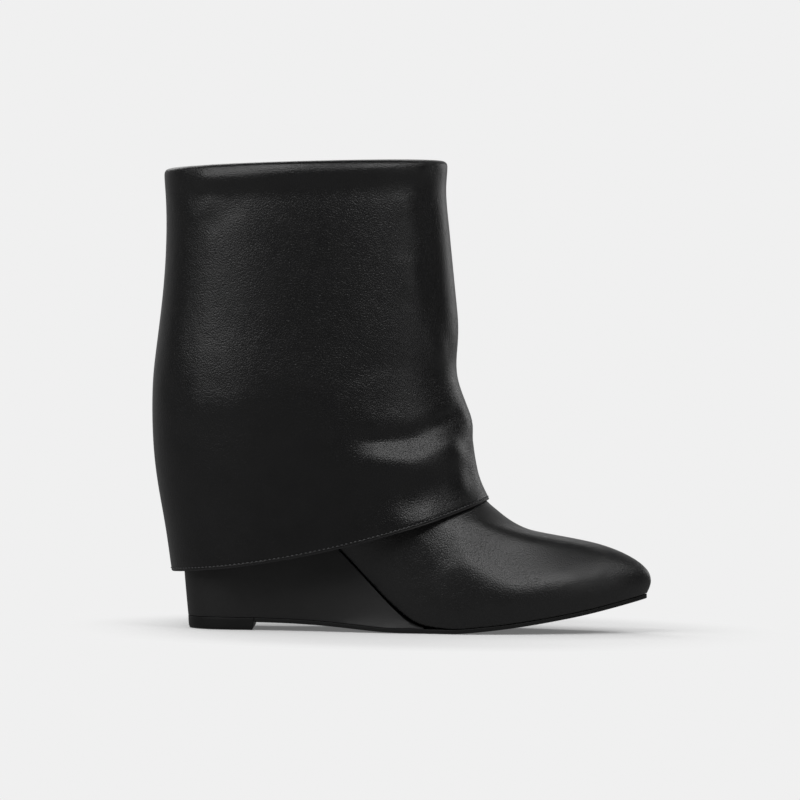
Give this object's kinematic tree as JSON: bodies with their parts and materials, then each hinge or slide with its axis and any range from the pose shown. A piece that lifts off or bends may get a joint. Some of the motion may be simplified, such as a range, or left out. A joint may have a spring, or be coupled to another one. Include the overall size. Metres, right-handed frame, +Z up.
{
  "type": "fold-over wedge ankle boot",
  "caption": "Pointed ankle boot for the right foot, with a covered wedge heel and a wide leather cuff folded down over the shaft.",
  "frame": {"origin": "on the floor, in the middle of the top lift's underside", "axes": "+X towards the toe, +Z up, -Y towards the outer side of the foot"},
  "size_m": [0.2669, 0.098, 0.2485],
  "materials": {
    "upper_leather": "satin, fine pebble grain",
    "wedge_covering": "satin, smooth",
    "sole_rubber": "matt",
    "insole_sock": "matt"
  },
  "bodies": {
    "root": {"upper": "upper_leather", "foldover_cuff": "upper_leather", "insole": "insole_sock", "wedge_heel": "wedge_covering", "outsole": "sole_rubber", "top_lift": "sole_rubber"}
  },
  "joints": []
}
